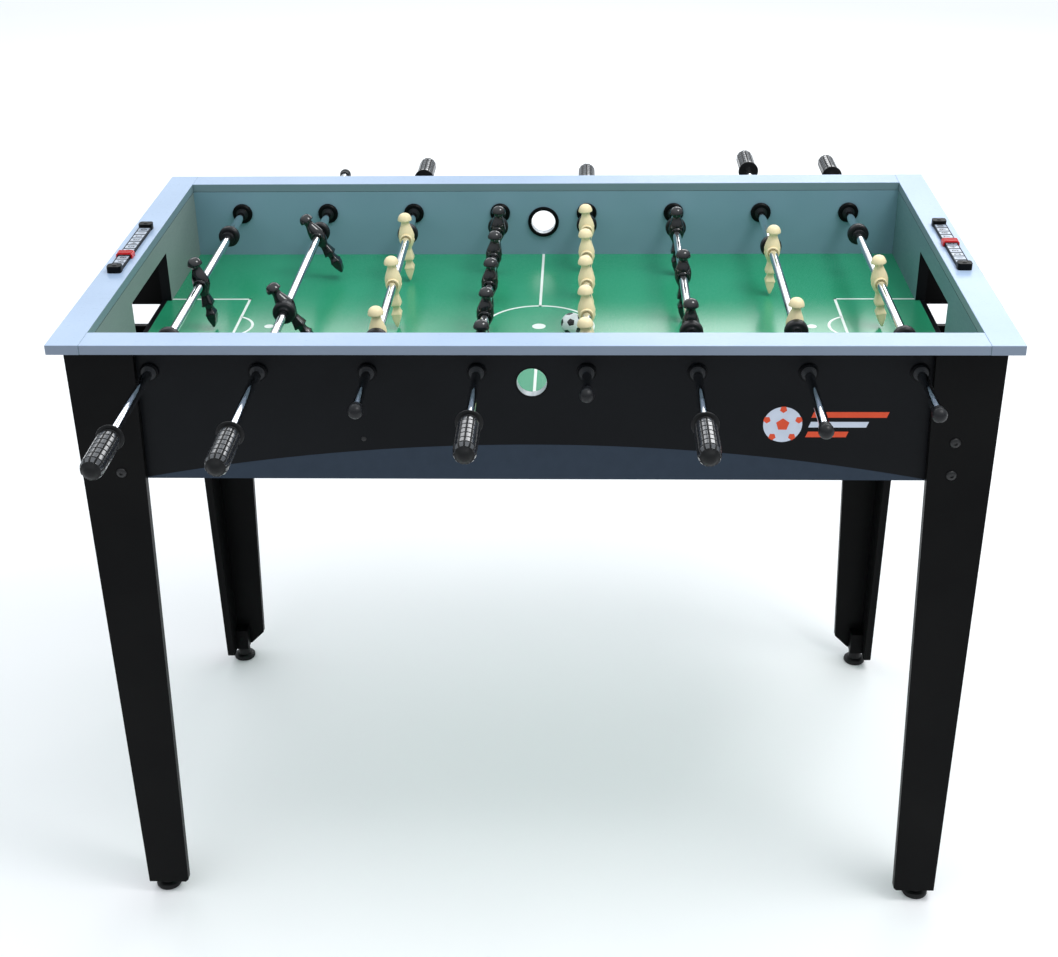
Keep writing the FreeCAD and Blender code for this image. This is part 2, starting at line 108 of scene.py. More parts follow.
# ---- materials ---------------------------------------------------------------------
class Shader:
    """A material with one Principled shader and short helpers for wiring its nodes."""

    def __init__(self, name, colour, roughness, **sockets):
        self.material = bpy.data.materials.new(name)
        self.material.use_nodes = True
        self.tree = self.material.node_tree
        self.bsdf = self.tree.nodes["Principled BSDF"]
        self.colour = colour
        self.bsdf.inputs["Base Color"].default_value = colour
        self.bsdf.inputs["Roughness"].default_value = roughness
        for socket, value in sockets.items():
            self.bsdf.inputs[socket.replace("_", " ")].default_value = value
        self.coordinates = self.node("ShaderNodeTexCoord").outputs["Object"]

    def node(self, kind, **settings):
        made = self.tree.nodes.new(kind)
        for key, value in settings.items():
            setattr(made, key, value)
        return made

    def link(self, output, socket):
        self.tree.links.new(output, socket)

    def scaled(self, stretch):
        """Object coordinates stretched along each axis."""
        mapping = self.node("ShaderNodeMapping")
        mapping.inputs["Scale"].default_value = stretch
        self.link(self.coordinates, mapping.inputs["Vector"])
        return mapping.outputs["Vector"]

    def noise(self, scale, detail, stretch=(1, 1, 1)):
        texture = self.node("ShaderNodeTexNoise")
        texture.inputs["Scale"].default_value = scale
        texture.inputs["Detail"].default_value = detail
        texture.inputs["Roughness"].default_value = 0.55
        self.link(self.scaled(stretch), texture.inputs["Vector"])
        return texture.outputs["Fac"]

    def spread(self, value, from_low, from_high, to_low, to_high):
        """A value mapped from one range to another, clamped."""
        ranged = self.node("ShaderNodeMapRange")
        for socket, number in zip(("From Min", "From Max", "To Min", "To Max"),
                                  (from_low, from_high, to_low, to_high)):
            ranged.inputs[socket].default_value = number
        self.link(value, ranged.inputs["Value"])
        return ranged.outputs["Result"]

    def mix(self, factor, first, second):
        """Two colours mixed by a factor; each may be a colour or an output."""
        blend = self.node("ShaderNodeMix", data_type="RGBA")
        self.link(factor, blend.inputs[0])
        for value, socket in ((first, blend.inputs[6]), (second, blend.inputs[7])):
            if isinstance(value, tuple):
                socket.default_value = value
            else:
                self.link(value, socket)
        return blend.outputs[2]

    def normal_part(self, axis):
        """One component of the surface normal."""
        geometry = self.node("ShaderNodeNewGeometry")
        split = self.node("ShaderNodeSeparateXYZ")
        self.link(geometry.outputs["Normal"], split.inputs[0])
        return split.outputs[axis]

    def outwardness(self):
        """Positive on side faces that look away from the table's middle, negative on inner ones."""
        geometry = self.node("ShaderNodeNewGeometry")
        product = self.node("ShaderNodeVectorMath", operation="MULTIPLY")
        self.link(geometry.outputs["Normal"], product.inputs[0])
        self.link(self.coordinates, product.inputs[1])
        split = self.node("ShaderNodeSeparateXYZ")
        self.link(product.outputs[0], split.inputs[0])
        total = self.node("ShaderNodeMath", operation="ADD")
        self.link(split.outputs["X"], total.inputs[0])
        self.link(split.outputs["Y"], total.inputs[1])
        return total.outputs[0]

    def paint(self, output):
        self.link(output, self.bsdf.inputs["Base Color"])

    def shine(self, output):
        self.link(output, self.bsdf.inputs["Roughness"])

    def bump(self, height, distance):
        """Fine relief, its depth in metres."""
        relief = self.node("ShaderNodeBump")
        relief.inputs["Distance"].default_value = distance
        relief.inputs["Strength"].default_value = 1.0
        self.link(height, relief.inputs["Height"])
        self.link(relief.outputs["Normal"], self.bsdf.inputs["Normal"])

    def grain(self, scale, shade, rough_low, rough_high, depth):
        """The usual finish: a little colour variation, uneven gloss and fine relief."""
        broad = self.noise(scale * 0.12, 3.0)
        fine = self.noise(scale, 5.0)
        darker = tuple(c * (1 - shade) for c in self.colour[:3]) + (1.0,)
        lighter = tuple(min(1.0, c * (1 + shade)) for c in self.colour[:3]) + (1.0,)
        self.paint(self.mix(self.spread(broad, 0.3, 0.7, 0.0, 1.0), darker, lighter))
        self.shine(self.spread(fine, 0.3, 0.7, rough_low, rough_high))
        self.bump(fine, depth)
        return self


def two_tone(shader, scale, dark, light):
    """A slow drift between two close colours."""
    return shader.mix(shader.spread(shader.noise(scale, 3.0), 0.3, 0.7, 0.0, 1.0), dark, light)


def rail_laminate():
    """Silver-blue foil on top, grey edge band outside, wall-coloured edge towards the pit."""
    shader = Shader("rail_laminate", srgb(184, 204, 232), 0.3, Specular_IOR_Level=0.3)
    fine = shader.noise(900.0, 5.0, (0.12, 1.0, 1.0))
    top = two_tone(shader, 6.0, srgb(158, 179, 205), srgb(168, 189, 215))
    outward = shader.outwardness()
    outside = shader.spread(outward, -0.02, 0.02, 0.0, 1.0)
    edge = shader.mix(outside, srgb(118, 142, 150), srgb(122, 134, 150))
    upward = shader.spread(shader.normal_part("Z"), 0.5, 0.8, 0.0, 1.0)
    shader.paint(shader.mix(upward, edge, top))
    shader.shine(shader.spread(fine, 0.3, 0.7, 0.26, 0.38))
    shader.bump(fine, 0.00002)
    return shader.material


def panel_laminate(name, axis, sign, dark, light):
    """Black foil outside and blue-grey foil on the face towards the playing pit; each wall's inner colours
    are passed in, with painted light and shade in them.
    """
    shader = Shader(name, srgb(14, 15, 17), 0.36, Specular_IOR_Level=0.1)
    fine = shader.noise(700.0, 5.0, (0.15, 0.15, 1.0))
    inside = two_tone(shader, 5.0, dark, light)
    outside = two_tone(shader, 5.0, srgb(10, 12, 15), srgb(16, 18, 21))
    facing = shader.spread(shader.normal_part(axis), 0.5 * sign, 0.8 * sign, 0.0, 1.0)
    shader.paint(shader.mix(facing, outside, inside))
    shader.shine(shader.spread(fine, 0.3, 0.7, 0.32, 0.44))
    shader.bump(fine, 0.00002)
    return shader.material


def board_black():
    """Black foil on the legs and ball boxes, rubbed a little paler here and there."""
    shader = Shader("board_black", srgb(10, 10, 10), 0.38, Specular_IOR_Level=0.06)
    fine = shader.noise(600.0, 5.0, (1.0, 1.0, 0.12))
    shader.paint(two_tone(shader, 7.0, srgb(9, 9, 10), srgb(15, 15, 15)))
    shader.shine(shader.spread(fine, 0.3, 0.7, 0.32, 0.46))
    shader.bump(fine, 0.00003)
    return shader.material


def field_print():
    """The glossy printed green board."""
    shader = Shader("field_print", srgb(42, 148, 108), 0.3, Specular_IOR_Level=0.4, Coat_Weight=0.35,
                    Coat_Roughness=0.16)
    fine = shader.noise(1500.0, 3.0)
    shader.paint(two_tone(shader, 4.0, srgb(36, 144, 102), srgb(48, 154, 114)))
    shader.shine(shader.spread(fine, 0.3, 0.7, 0.22, 0.32))
    shader.bump(fine, 0.00001)
    return shader.material


def chrome():
    """Chromed tube with faint lengthwise polishing marks."""
    shader = Shader("rod_chrome", (0.9, 0.91, 0.93, 1.0), 0.07, Metallic=1.0)
    marks = shader.noise(500.0, 4.0, (1.0, 0.03, 1.0))
    shader.paint(two_tone(shader, 25.0, (0.84, 0.85, 0.88, 1.0), (0.93, 0.94, 0.95, 1.0)))
    shader.shine(shader.spread(marks, 0.3, 0.7, 0.05, 0.1))
    shader.bump(marks, 0.000004)
    return shader.material


def simple(name, colour, low_rough, high_rough, scale=300.0, shade=0.12, depth=0.00003, **sockets):
    """A moulded or painted finish."""
    shader = Shader(name, colour, (low_rough + high_rough) / 2, **sockets)
    return shader.grain(scale, shade, low_rough, high_rough, depth).material


def make_materials():
    """Every finish on the table, by name."""
    return {
        "rail": rail_laminate(),
        # One blue-grey foil lines the pit; each wall gets its own inner colours as painted light and shade:
        # the back wall painted lighter and bluer, the right wall painted darker.
        "front": panel_laminate("front_panel_foil", "Y", 1, srgb(112, 138, 132), srgb(120, 146, 140)),
        "back": panel_laminate("back_panel_foil", "Y", -1, srgb(120, 154, 168), srgb(128, 162, 176)),
        "left": panel_laminate("left_panel_foil", "X", 1, srgb(122, 138, 134), srgb(130, 146, 142)),
        "right": panel_laminate("right_panel_foil", "X", -1, srgb(100, 134, 138), srgb(108, 142, 146)),
        "board": board_black(),
        "field": field_print(),
        "line": simple("line_print", srgb(228, 236, 230), 0.3, 0.4, shade=0.04),
        "chrome": chrome(),
        "black_player": simple("black_player", srgb(8, 9, 12), 0.1, 0.16, 420.0, 0.2, 0.00001,
                               Specular_IOR_Level=0.7),
        "cream_player": simple("cream_player", srgb(244, 226, 182), 0.3, 0.4, 380.0, 0.04, 0.00003,
                               Specular_IOR_Level=0.35),
        # Grip finishes: the pads' paler grey is painted light for their highlights, and the darker matte
        # rubber in the grooves between them is painted shade; the flange and neck wear the same dark rubber.
        "rubber": simple("grip_rubber", srgb(10, 11, 12), 0.4, 0.55, 700.0, 0.15, 0.00004,
                         Specular_IOR_Level=0.25),
        "pad": simple("grip_pad_painted_light", srgb(34, 37, 42), 0.14, 0.22, 700.0, 0.15, 0.00001,
                      Specular_IOR_Level=0.9, Coat_Weight=0.4, Coat_Roughness=0.14),
        "stop": simple("stop_rubber", srgb(16, 17, 20), 0.32, 0.46, 700.0, 0.15, 0.00004,
                       Specular_IOR_Level=0.3),
        "bearing": simple("bearing_plastic", srgb(7, 8, 10), 0.34, 0.46, 600.0, 0.15, 0.00003,
                          Specular_IOR_Level=0.1),
        "nylon": simple("sleeve_nylon", srgb(26, 28, 31), 0.4, 0.5, Specular_IOR_Level=0.3),
        "bolt": simple("bolt_black", srgb(20, 20, 21), 0.28, 0.4, 500.0, 0.2, 0.00002,
                       Specular_IOR_Level=0.4),
        "steel": simple("screw_steel", (0.55, 0.56, 0.58, 1.0), 0.2, 0.34, 800.0, 0.1, 0.00002, Metallic=1.0),
        "red": simple("marker_red", srgb(196, 18, 22), 0.26, 0.36, 500.0, 0.06),
        "scale": simple("counter_scale", srgb(168, 178, 192), 0.26, 0.36, 500.0, 0.05),
        # Ink for the printed numbers, also used as painted shade in the counter screws' crosses.
        "ink": simple("counter_ink_and_painted_recess_shade", srgb(16, 16, 18), 0.4, 0.5),
        "ball_white": simple("ball_white", srgb(226, 232, 232), 0.24, 0.34, 500.0, 0.04),
        "ball_black": simple("ball_black", srgb(18, 18, 20), 0.24, 0.34, 500.0, 0.1),
        "swoosh": simple("apron_band", srgb(44, 55, 68), 0.36, 0.46, 500.0, 0.05, Specular_IOR_Level=0.12),
        "orange": simple("badge_orange", srgb(214, 78, 46), 0.34, 0.42, 500.0, 0.04, Specular_IOR_Level=0.2),
        "pale": simple("badge_pale", srgb(196, 204, 218), 0.34, 0.42, 500.0, 0.04, Specular_IOR_Level=0.2),
        "glide": simple("glide_plastic", srgb(14, 14, 15), 0.36, 0.5, 500.0, 0.15, 0.00005,
                        Specular_IOR_Level=0.25),
        # Pale finish of the ball-hole sleeves: painted light for the lit inside of the holes.
        "painted_light_sleeve": simple("ring_painted_light_sleeve", srgb(206, 212, 216), 0.26, 0.36, 500.0, 0.05),
    }


MATERIALS = make_materials()


# ---- mesh helpers ------------------------------------------------------------------
def turn(bm, profile, segments, place, slot=0):
    """Add a solid turned about Z from (radius, z) points; a zero radius closes an end."""
    rings = []
    for radius, z in profile:
        if radius < 1e-7:
            rings.append([bm.verts.new(place @ Vector((0, 0, z)))])
            continue
        ring = []
        for i in range(segments):
            angle = 2 * math.pi * i / segments
            ring.append(bm.verts.new(place @ Vector((radius * math.cos(angle), radius * math.sin(angle), z))))
        rings.append(ring)
    for a, b in zip(rings, rings[1:]):
        for i in range(segments):
            j = (i + 1) % segments
            corners = [a[i % len(a)], a[j % len(a)], b[j % len(b)], b[i % len(b)]]
            unique = list(dict.fromkeys(corners))
            face = bm.faces.new(unique)
            face.material_index = slot
            face.smooth = True


def closed_turn(bm, profile, segments, place, slot=0):
    """Add a ring-shaped solid turned about Z from a closed outline of (radius, z) points."""
    turn(bm, profile + [profile[0]], segments, place, slot)


def slab(bm, outline, z0, z1, place, slot=0):
    """Add a flat plate with the given (x, y) outline between two heights."""
    bottom = [bm.verts.new(place @ Vector((x, y, z0))) for x, y in outline]
    top = [bm.verts.new(place @ Vector((x, y, z1))) for x, y in outline]
    faces = [bm.faces.new(list(reversed(bottom))), bm.faces.new(top)]
    for i in range(len(outline)):
        j = (i + 1) % len(outline)
        faces.append(bm.faces.new([bottom[i], bottom[j], top[j], top[i]]))
    for face in faces:
        face.material_index = slot


def cuboid(bm, a, b, place=Matrix(), slot=0):
    """Add a box between two corners."""
    outline = [(a[0], a[1]), (b[0], a[1]), (b[0], b[1]), (a[0], b[1])]
    slab(bm, outline, a[2], b[2], place, slot)


def finish_mesh(name, bm, materials, body, sharp=35.0):
    """Turn a bmesh into a piece riding on a body."""
    bmesh.ops.recalc_face_normals(bm, faces=bm.faces)
    mesh = bpy.data.meshes.new(name)
    bm.to_mesh(mesh)
    bm.free()
    for material in materials:
        mesh.materials.append(MATERIALS[material])
    mesh.shade_smooth()
    mesh.set_sharp_from_angle(angle=math.radians(sharp))
    piece = bpy.data.objects.new(name, mesh)
    bpy.context.scene.collection.objects.link(piece)
    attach(piece, body)
    return piece


def soften(piece, width, segments=2):
    """Round a piece's sharp edges a little."""
    modifier = piece.modifiers.new("edge_round", "BEVEL")
    modifier.width = width
    modifier.segments = segments
    modifier.limit_method = "ANGLE"
    modifier.angle_limit = math.radians(40)
    modifier.harden_normals = True


def along_y(sign):
    """Turns a shape made along +Z to point along +Y or -Y."""
    return Matrix.Rotation(math.radians(-90 * sign), 4, "X")


# ---- carried-over CAD nodes --------------------------------------------------------
def dress(node, material, bevel=0.0):
    """Give a CAD node its finish, and soften the edges of its boards."""
    piece = frame["nodes"][node]
    for slot in piece.material_slots:
        slot.material = MATERIALS[material]
    if bevel:
        weld = piece.modifiers.new("weld", "WELD")
        weld.merge_threshold = 1e-5
        soften(piece, bevel)


def dress_cabinet():
    for side in ("front", "back"):
        dress(side + "_panel", side, 0.4 * MM)
    for side in ("left", "right"):
        dress(side + "_end_panel", side, 0.4 * MM)
    dress("side_top_rails", "rail", 1.0 * MM)
    dress("end_top_rails", "rail", 1.0 * MM)
    dress("playfield", "field")
    dress("ball_return_boxes", "board", 0.6 * MM)
    for corner in ("front_left", "front_right", "back_left", "back_right"):
        dress("leg_" + corner, "board", 0.8 * MM)
    dress("rod_bearings", "bearing")
    for number in RODS:
        dress("rod_%d_bearing_sleeves" % number, "nylon")
        dress("rod_%d_tube_and_screws" % number, "chrome")


# ---- field lines -------------------------------------------------------------------
LINE = 4.0 * MM
LINE_LIFT = 0.12 * MM


def arc_strip(bm, centre, radius, start, end, steps):
    """Add a flat curved line between two angles in degrees."""
    edges = []
    for i in range(steps + 1):
        angle = math.radians(start + (end - start) * i / steps)
        direction = Vector((math.cos(angle), math.sin(angle), 0))
        edges.append([centre + direction * (radius + side * LINE / 2) for side in (-1, 1)])
    for (a, b), (c, d) in zip(edges, edges[1:]):
        slab(bm, [(p.x, p.y) for p in (a, b, d, c)], FIELD, FIELD + LINE_LIFT, Matrix())


def straight_line(bm, x0, y0, x1, y1):
    half = LINE / 2
    cuboid(bm, (min(x0, x1) - half, min(y0, y1) - half, FIELD),
           (max(x0, x1) + half, max(y0, y1) + half, FIELD + LINE_LIFT))


def disc(bm, x, y, radius):
    """A round spot on the field."""
    turn(bm, [(0, FIELD), (radius, FIELD), (radius, FIELD + LINE_LIFT), (0, FIELD + LINE_LIFT)],
         32, Matrix.Translation((x, y, 0)))


def field_lines():
    """Halfway line, centre circle, penalty areas with their arcs, and the spots."""
    bm = bmesh.new()
    circle = 80 * MM
    box_depth = 120 * MM
    box_half = 108 * MM
    for side in (-1, 1):
        straight_line(bm, 0, side * circle, 0, side * (INNER_Y - LINE / 2))
    arc_strip(bm, Vector((0, 0, 0)), circle, 0, 360, 96)
    disc(bm, 0, 0, 10 * MM)
    for side in (-1, 1):
        goal = side * (INNER_X - LINE / 2)
        edge = side * (INNER_X - box_depth)
        for y in (-box_half, box_half):
            straight_line(bm, goal, y, edge, y)
        straight_line(bm, edge, -box_half, edge, box_half)
        spot_x = side * (INNER_X - 168 * MM)
        disc(bm, spot_x, 0, 7 * MM)
        arc_radius = 40 * MM
        depth = 23 * MM
        centre_x = edge - side * (depth - arc_radius)
        half_angle = math.degrees(math.acos((arc_radius - depth) / arc_radius))
        facing = 180 if side > 0 else 0
        arc_strip(bm, Vector((centre_x, 0, 0)), arc_radius, facing - half_angle, facing + half_angle, 24)
    finish_mesh("field_lines", bm, ["line"], "cabinet")


# ---- apron graphics ----------------------------------------------------------------
FOIL = 0.15 * MM


def apron_place():
    """From (x, height) on the front panel's face to the table's frame; thickness comes forward."""
    return Matrix(((1, 0, 0, 0), (0, 0, -1, PANEL_FRONT), (0, 1, 0, 0), (0, 0, 0, 1)))


def apron_band():
    """The slate-coloured band that swells along the foot of the front panel."""
    bm = bmesh.new()
    leg_edge = 515 * MM
    rise = 50 * MM
    steps = 64
    outline = [(-leg_edge, PANEL_LOW + 0.3 * MM), (leg_edge, PANEL_LOW + 0.3 * MM)]
    for i in range(steps + 1):
        x = leg_edge - 2 * leg_edge * i / steps
        bulge = 1 - (x / leg_edge) ** 2
        outline.append((x, PANEL_LOW + 1.2 * MM + rise * bulge))
    slab(bm, outline, 0, FOIL, apron_place())
    finish_mesh("apron_band", bm, ["swoosh"], "cabinet")


def apron_screw():
    """The small black screw that holds a batten behind the front panel."""
    bm = bmesh.new()
    place = apron_place() @ Matrix.Translation((-220 * MM, 773 * MM, 0))
    cross_screw(bm, place, 3.2 * MM, 1.4 * MM, 0)
    cross_slots(bm, place, 3.2 * MM, 1.4 * MM, 0)
    finish_mesh("apron_screw", bm, ["bolt"], "cabinet")


def ngon(centre, radius, sides, turn_by=90.0):
    return [(centre[0] + radius * math.cos(math.radians(turn_by + 360 * i / sides)),
             centre[1] + radius * math.sin(math.radians(turn_by + 360 * i / sides))) for i in range(sides)]


def badge():
    """A plain badge: a ball with a five-sided patch, and three stripes beside it."""
    bm = bmesh.new()
    place = apron_place()
    centre = (322 * MM, 795 * MM)
    ball = 25 * MM
    slab(bm, ngon(centre, ball, 48), 0, FOIL, place, 0)
    slab(bm, ngon(centre, ball * 0.36, 5), FOIL, 1.6 * FOIL, place, 1)
    for i in range(5):
        angle = math.radians(90 + 72 * i)
        spoke = [centre[0] + ball * 0.86 * math.cos(angle), centre[1] + ball * 0.86 * math.sin(angle)]
        slab(bm, ngon(spoke, ball * 0.2, 5, 90 + 72 * i + 36), FOIL, 1.6 * FOIL, place, 1)
    for i in range(3):
        y = centre[1] + (14 - 14 * i) * MM
        start = centre[0] + (36 - 3 * i) * MM
        end = start + (96 - 22 * i) * MM
        lean = 3.0 * MM
        half = 4 * MM
        stripe = [(start, y - half), (end, y - half), (end + lean, y + half), (start + lean, y + half)]
        slab(bm, stripe, 0, FOIL, place, 1 if i != 1 else 0)
    finish_mesh("apron_badge", bm, ["pale", "orange"], "cabinet")


# ---- players -----------------------------------------------------------------------
def player_sections():
    """Sections of a player, crown to sole: height, half depth, half width (mm) and squareness."""
    return [
        (40.0, 1.8, 1.8, 2), (39.5, 4.6, 4.6, 2), (38.3, 6.8, 6.8, 2), (36.2, 8.8, 8.8, 2),
        (33.4, 10.1, 10.1, 2), (30.8, 10.8, 10.8, 2), (29.5, 10.9, 10.9, 2), (28.9, 10.6, 10.6, 2),
        (28.5, 9.4, 9.4, 2), (28.2, 7.2, 7.2, 2), (27.0, 6.5, 6.5, 2), (24.4, 6.4, 6.4, 2),
        (21.4, 7.1, 7.0, 2), (18.0, 8.4, 8.2, 2),
        (14.0, 10.0, 9.5, 2), (9.6, 11.4, 10.4, 2), (5.0, 12.3, 10.8, 2), (0.6, 12.5, 10.8, 2),
        (-3.4, 12.0, 10.4, 2.1), (-7.4, 10.7, 9.7, 2.3), (-11.2, 8.9, 8.6, 2.6), (-14.8, 7.0, 7.4, 3),
        (-17.4, 6.0, 6.6, 3.5), (-18.2, 6.0, 6.7, 4), (-23.0, 6.6, 7.7, 5), (-28.0, 7.6, 9.0, 6),
        (-32.4, 8.6, 10.2, 6), (-33.0, 8.4, 10.0, 6), (-33.2, 5.1, 6.6, 5), (-36.0, 4.9, 6.3, 5),
        (-40.0, 5.2, 6.7, 5), (-44.0, 6.3, 8.2, 6), (-47.0, 7.7, 9.8, 7), (-47.7, 7.6, 9.7, 8),
        (-47.9, 6.9, 9.5, 8), (-54.0, 6.2, 9.5, 8), (-60.0, 4.0, 9.4, 8), (-65.3, 1.8, 9.3, 8),
        (-66.0, 1.2, 8.8, 8),
    ]


def superellipse(half_x, half_y, power, segments):
    """Points round a rounded rectangle; power 2 is an ellipse."""
    points = []
    for i in range(segments):
        angle = 2 * math.pi * i / segments
        c = math.cos(angle)
        s = math.sin(angle)
        points.append((half_x * math.copysign(abs(c) ** (2 / power), c),
                       half_y * math.copysign(abs(s) ** (2 / power), s)))
    return points


def player_body():
    """A solid player without its rod fittings, on the rod's axis (Y), standing along Z."""
    bm = bmesh.new()
    segments = 40
    rings = []
    for z, half_x, half_y, power in player_sections():
        outline = superellipse(half_x, half_y, power, segments)
        rings.append([bm.verts.new(Vector((x, y, z)) * MM) for x, y in outline])
    for a, b in zip(rings, rings[1:]):
        for i in range(segments):
            j = (i + 1) % segments
            bm.faces.new([a[i], a[j], b[j], b[i]])
    bm.faces.new(rings[0][::-1])
    bm.faces.new(rings[-1])
    return bm


def turned_tool(name, profile, segments, place):
    """A working solid turned from (radius, height) points in mm."""
    bm = bmesh.new()
    turn(bm, [(r * MM, z * MM) for r, z in profile], segments, place)
    return temp_object(name, bm)


def make_player_mesh():
    """A player with its rod sleeve, and the bore, sleeve mouths and screw recesses cut in."""
    body = temp_object("player_body", player_body())
    half = SLEEVE_HALF
    boss = [(0, -half), (8.9, -half), (9.5, 0.6 - half), (9.5, half - 0.6), (8.9, half), (0, half)]
    mouth = half - 2.5
    bore = [(0, -20), (8.0, -20), (8.0, -mouth), (ROD_RADIUS, -mouth), (ROD_RADIUS, mouth), (8.0, mouth),
            (8.0, 20), (0, 20)]
    tools = [(turned_tool("player_boss", boss, 48, along_y(1)), "UNION"),
             (turned_tool("player_bore", bore, 48, along_y(1)), "DIFFERENCE")]
    across = Matrix.Rotation(math.radians(90), 4, "Y")
    for side in (-1, 1):
        span = sorted((side * 8.6, side * 20))
        recess = [(0, span[0]), (3.9, span[0]), (3.9, span[1]), (0, span[1])]
        tools.append((turned_tool("player_recess", recess, 28, across), "DIFFERENCE"))
    for cutter, operation in tools:
        modifier = body.modifiers.new(cutter.name, "BOOLEAN")
        modifier.object = cutter
        modifier.operation = operation
        modifier.solver = "EXACT"
    mesh = baked_mesh(body)
    for scrap in [body] + [cutter for cutter, operation in tools]:
        bpy.data.objects.remove(scrap)
    return mesh


def temp_object(name, bm):
    """A working object for cutting and joining; it doesn't stay in the scene."""
    bmesh.ops.remove_doubles(bm, verts=bm.verts, dist=1e-7)
    bmesh.ops.recalc_face_normals(bm, faces=bm.faces)
    mesh = bpy.data.meshes.new(name)
    bm.to_mesh(mesh)
    bm.free()
    working = bpy.data.objects.new(name, mesh)
    bpy.context.scene.collection.objects.link(working)
    return working


def baked_mesh(working):
    """The mesh of an object with its modifiers applied."""
    graph = bpy.context.evaluated_depsgraph_get()
    return bpy.data.meshes.new_from_object(working.evaluated_get(graph))


def rod_place(number):
    """From a rod's own frame to the table at rest: its axis, rest slide and lean."""
    axis = ROD_AXES["rod_%d_sleeves" % number]
    slide = middle("rod_%d_players" % number).y
    lean = math.radians(RODS[number][3])
    return Matrix.Translation((axis.x, slide, axis.z)) @ Matrix.Rotation(lean, 4, "Y")


def player_offsets(number):
    """Player centres along a rod, from the width of the players' CAD node."""
    count = RODS[number][1]
    node = "rod_%d_players" % number
    span = high(node).y - low(node).y - 2 * SLEEVE_HALF * MM
    if count == 1:
        return [0.0]
    return [span * (i / (count - 1) - 0.5) for i in range(count)]


def players(number, template):
    """All players on one rod, facing the goal that their team attacks."""
    bm = bmesh.new()
    team = RODS[number][0]
    about = Matrix.Rotation(math.pi if team == "cream" else 0.0, 4, "Z")
    for offset in player_offsets(number):
        before = len(bm.verts)
        bm.from_mesh(template)
        bm.verts.ensure_lookup_table()
        place = rod_place(number) @ Matrix.Translation((0, offset, 0)) @ about
        bmesh.ops.transform(bm, matrix=place, verts=bm.verts[before:])
    name = "rod_%d_players_detailed" % number
    piece = finish_mesh(name, bm, [team + "_player"], "rod_%d" % number, sharp=42)
    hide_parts("rod_%d_players" % number)


# ---- grips -------------------------------------------------------------------------
GRIP_COLUMNS = 12


def make_grip_mesh(length):
    """A rubber handle along +Z: flange, neck, and a swollen body covered in raised pads."""
    bm = bmesh.new()
    flange = [(ROD_RADIUS, 0.3), (6.65, 0), (15.6, 0), (16.6, 0.4), (17.0, 1.3), (16.8, 2.3), (15.8, 3.0),
              (12.2, 3.4), (11.2, 4.4), (11.0, 6.4), (11.6, 7.6), (12.2, 8.4)]
    turn(bm, [(r * MM, z * MM) for r, z in flange], 48, Matrix(), 1)
    body = bmesh.new()
    rows = 6
    start = 8.4
    straight = length / MM - 17.0
    rings = [(12.2, start), (13.0, start + 4.5)]
    step = (straight - start) / rows
    for i in range(1, 2 * rows):
        height = start + step * (i + 1) / 2
        if height > rings[-1][1] + 1:
            rings.append((13.2, height))
    rings += [(12.6, straight + 4.6), (10.6, straight + 9.2)]
    cap = [(8.0, straight + 12.6), (4.6, straight + 14.8), (0, straight + 15.6)]
    turn(body, [(r * MM, z * MM) for r, z in rings + cap], 2 * GRIP_COLUMNS, Matrix(), 1)
    bmesh.ops.remove_doubles(body, verts=body.verts, dist=1e-7)
    bmesh.ops.recalc_face_normals(body, faces=body.faces)
    raise_pads(body, [z * MM for r, z in rings])
    mesh = bpy.data.meshes.new("grip_body")
    body.to_mesh(mesh)
    body.free()
    bm.from_mesh(mesh)
    bm.to_mesh(mesh)
    bm.free()
    return mesh


def raise_pads(body, heights):
    """Lift a pad out of every two-by-two group of faces, leaving grooves between them."""
    pads = {}
    for face in body.faces:
        middle_point = face.calc_center_median()
        row = sum(1 for height in heights if height < middle_point.z)
        if row == 0 or row >= len(heights):
            continue
        turn_part = math.atan2(middle_point.y, middle_point.x) / (2 * math.pi) % 1.0
        pads.setdefault(((row - 1) // 2, int(turn_part * GRIP_COLUMNS)), []).append(face)
    for faces in pads.values():
        bmesh.ops.inset_region(body, faces=faces, thickness=1.0 * MM, use_even_offset=True, use_boundary=True)
        body.normal_update()
        moved = {}
        for face in faces:
            # Pads take the paler glossy finish and the grooves keep the dark one: painted light on the pads,
            # painted shade in the grooves.
            face.material_index = 0
            for vertex in face.verts:
                moved.setdefault(vertex, Vector((0, 0, 0)))
                moved[vertex] += face.normal
        for vertex, normal in moved.items():
            vertex.co += normal.normalized() * 1.15 * MM


def grip(number, template):
    """One handle, on the side of the table its rod is played from."""
    node = "rod_%d_grip" % number
    side = RODS[number][2]
    start = low(node).y if side > 0 else high(node).y
    axis = ROD_AXES["rod_%d_sleeves" % number]
    place = Matrix.Translation((axis.x, start, axis.z)) @ along_y(side)
    bm = bmesh.new()
    bm.from_mesh(template)
    bmesh.ops.transform(bm, matrix=place, verts=bm.verts[:])
    piece = finish_mesh(node + "_detailed", bm, ["pad", "rubber"], "rod_%d" % number, sharp=38)
    soften(piece, 0.3 * MM)
    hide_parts(node)


